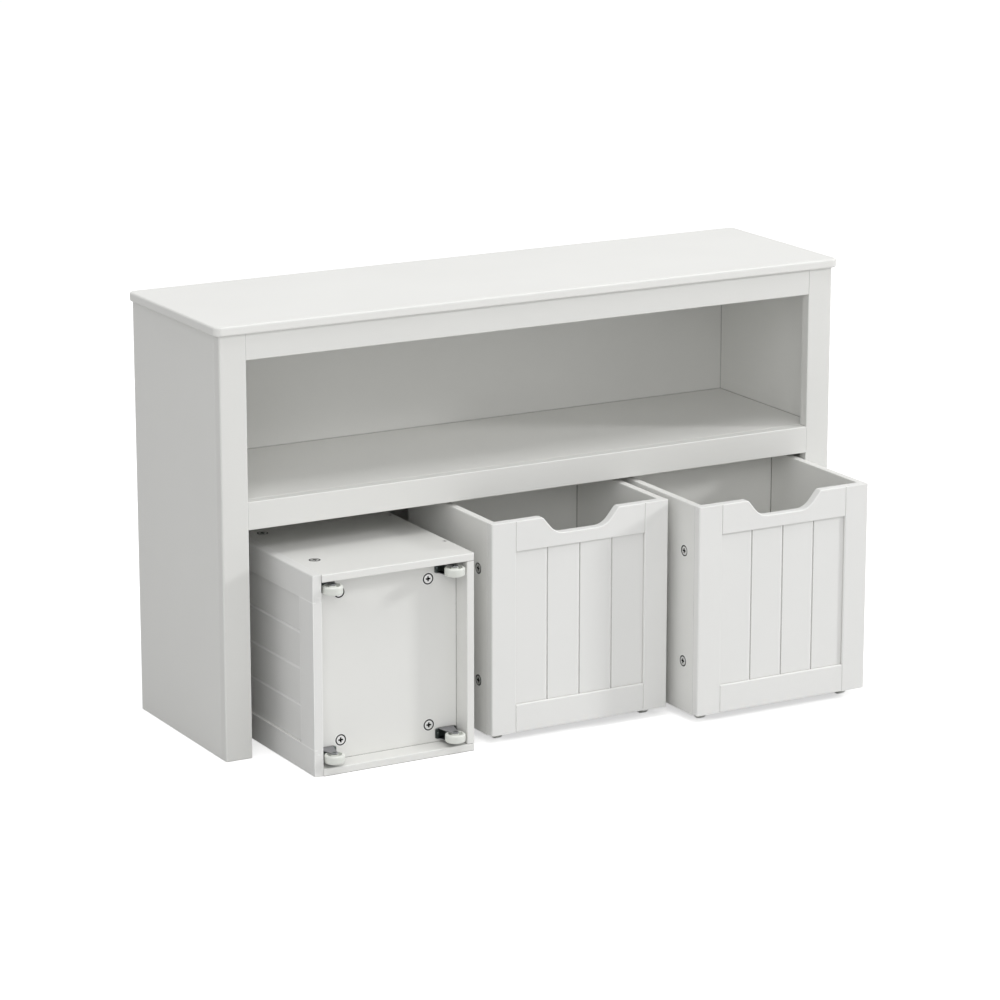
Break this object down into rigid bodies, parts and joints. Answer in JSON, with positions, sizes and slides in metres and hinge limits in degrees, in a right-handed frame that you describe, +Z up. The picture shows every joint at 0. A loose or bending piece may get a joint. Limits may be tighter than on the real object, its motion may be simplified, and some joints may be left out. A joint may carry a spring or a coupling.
{
  "type": "toy cabinet",
  "caption": "Low white toy cabinet with an open shelf over a bay that holds wheeled storage bins with hand scoops; one bin lies on its side.",
  "frame": {"origin": "on the floor under the middle of the box round the cabinet and its bins", "axes": "+X to the right along the cabinet's width, +Y from the front to the back, +Z up"},
  "size_m": [0.914, 0.417, 0.559],
  "materials": {
    "white_board": "satin white lacquer on fibreboard",
    "back_board": "matt white foil on thin board",
    "zinc_steel": "zinc plated",
    "nylon": "moulded, semi-gloss",
    "beech": "bare fluted dowel"
  },
  "bodies": {
    "cabinet": {"top_board": "white_board", "left_side_panel": "white_board", "right_side_panel": "white_board", "back_panel": "back_board", "shelf": "white_board", "left_stile": "white_board", "right_stile": "white_board", "top_rail": "white_board", "shelf_rail": "white_board", "cabinet_cams": "zinc_steel", "cabinet_dowels": "beech", "back_panel_screws": "zinc_steel"},
    "left_bin": {"left_bin_front_left_stile": "white_board", "left_bin_front_right_stile": "white_board", "left_bin_front_top_rail": "white_board", "left_bin_front_bottom_rail": "white_board", "left_bin_front_panel": "white_board", "left_bin_left_wall": "white_board", "left_bin_right_wall": "white_board", "left_bin_back_wall": "white_board", "left_bin_bottom": "white_board", "left_bin_cams": "zinc_steel", "left_bin_corner_screws": "zinc_steel", "left_bin_caster_brackets": "zinc_steel"},
    "left_bin_wheel_front_left": {"left_bin_wheel_front_left": "nylon"},
    "left_bin_wheel_front_right": {"left_bin_wheel_front_right": "nylon"},
    "left_bin_wheel_back_left": {"left_bin_wheel_back_left": "nylon"},
    "left_bin_wheel_back_right": {"left_bin_wheel_back_right": "nylon"},
    "middle_bin": {"middle_bin_front_left_stile": "white_board", "middle_bin_front_right_stile": "white_board", "middle_bin_front_top_rail": "white_board", "middle_bin_front_bottom_rail": "white_board", "middle_bin_front_panel": "white_board", "middle_bin_left_wall": "white_board", "middle_bin_right_wall": "white_board", "middle_bin_back_wall": "white_board", "middle_bin_bottom": "white_board", "middle_bin_cams": "zinc_steel", "middle_bin_corner_screws": "zinc_steel", "middle_bin_caster_brackets": "zinc_steel"},
    "middle_bin_wheel_front_left": {"middle_bin_wheel_front_left": "nylon"},
    "middle_bin_wheel_front_right": {"middle_bin_wheel_front_right": "nylon"},
    "middle_bin_wheel_back_left": {"middle_bin_wheel_back_left": "nylon"},
    "middle_bin_wheel_back_right": {"middle_bin_wheel_back_right": "nylon"},
    "right_bin": {"right_bin_front_left_stile": "white_board", "right_bin_front_right_stile": "white_board", "right_bin_front_top_rail": "white_board", "right_bin_front_bottom_rail": "white_board", "right_bin_front_panel": "white_board", "right_bin_left_wall": "white_board", "right_bin_right_wall": "white_board", "right_bin_back_wall": "white_board", "right_bin_bottom": "white_board", "right_bin_cams": "zinc_steel", "right_bin_corner_screws": "zinc_steel", "right_bin_caster_brackets": "zinc_steel"},
    "right_bin_wheel_front_left": {"right_bin_wheel_front_left": "nylon"},
    "right_bin_wheel_front_right": {"right_bin_wheel_front_right": "nylon"},
    "right_bin_wheel_back_left": {"right_bin_wheel_back_left": "nylon"},
    "right_bin_wheel_back_right": {"right_bin_wheel_back_right": "nylon"}
  },
  "joints": [
    {"name": "left_bin_roll", "type": "slide", "parent": "cabinet", "child": "left_bin", "axis": [0, -1, 0], "range_m": [-0.07, 0.15]},
    {"name": "left_bin_wheel_front_left_spin", "type": "hinge", "parent": "left_bin", "child": "left_bin_wheel_front_left", "pos_m": [-0.35198, -0.1555, 0.021], "axis": [0, 0, 1], "continuous": true},
    {"name": "left_bin_wheel_front_right_spin", "type": "hinge", "parent": "left_bin", "child": "left_bin_wheel_front_right", "pos_m": [-0.35198, -0.1555, 0.239], "axis": [0, 0, 1], "continuous": true},
    {"name": "left_bin_wheel_back_left_spin", "type": "hinge", "parent": "left_bin", "child": "left_bin_wheel_back_left", "pos_m": [-0.18098, -0.1555, 0.021], "axis": [0, 0, 1], "continuous": true},
    {"name": "left_bin_wheel_back_right_spin", "type": "hinge", "parent": "left_bin", "child": "left_bin_wheel_back_right", "pos_m": [-0.18098, -0.1555, 0.239], "axis": [0, 0, 1], "continuous": true},
    {"name": "middle_bin_roll", "type": "slide", "parent": "cabinet", "child": "middle_bin", "axis": [0, -1, 0], "range_m": [-0.104, 0.156]},
    {"name": "middle_bin_wheel_front_left_spin", "type": "hinge", "parent": "middle_bin", "child": "middle_bin_wheel_front_left", "pos_m": [-0.105, -0.1245, 0.013], "axis": [1, 0, 0], "continuous": true},
    {"name": "middle_bin_wheel_front_right_spin", "type": "hinge", "parent": "middle_bin", "child": "middle_bin_wheel_front_right", "pos_m": [0.113, -0.1245, 0.013], "axis": [1, 0, 0], "continuous": true},
    {"name": "middle_bin_wheel_back_left_spin", "type": "hinge", "parent": "middle_bin", "child": "middle_bin_wheel_back_left", "pos_m": [-0.105, 0.0465, 0.013], "axis": [1, 0, 0], "continuous": true},
    {"name": "middle_bin_wheel_back_right_spin", "type": "hinge", "parent": "middle_bin", "child": "middle_bin_wheel_back_right", "pos_m": [0.113, 0.0465, 0.013], "axis": [1, 0, 0], "continuous": true},
    {"name": "right_bin_roll", "type": "slide", "parent": "cabinet", "child": "right_bin", "axis": [0, -1, 0], "range_m": [-0.16, 0.1]},
    {"name": "right_bin_wheel_front_left_spin", "type": "hinge", "parent": "right_bin", "child": "right_bin_wheel_front_left", "pos_m": [0.167, -0.1805, 0.013], "axis": [1, 0, 0], "continuous": true},
    {"name": "right_bin_wheel_front_right_spin", "type": "hinge", "parent": "right_bin", "child": "right_bin_wheel_front_right", "pos_m": [0.385, -0.1805, 0.013], "axis": [1, 0, 0], "continuous": true},
    {"name": "right_bin_wheel_back_left_spin", "type": "hinge", "parent": "right_bin", "child": "right_bin_wheel_back_left", "pos_m": [0.167, -0.0095, 0.013], "axis": [1, 0, 0], "continuous": true},
    {"name": "right_bin_wheel_back_right_spin", "type": "hinge", "parent": "right_bin", "child": "right_bin_wheel_back_right", "pos_m": [0.385, -0.0095, 0.013], "axis": [1, 0, 0], "continuous": true}
  ]
}
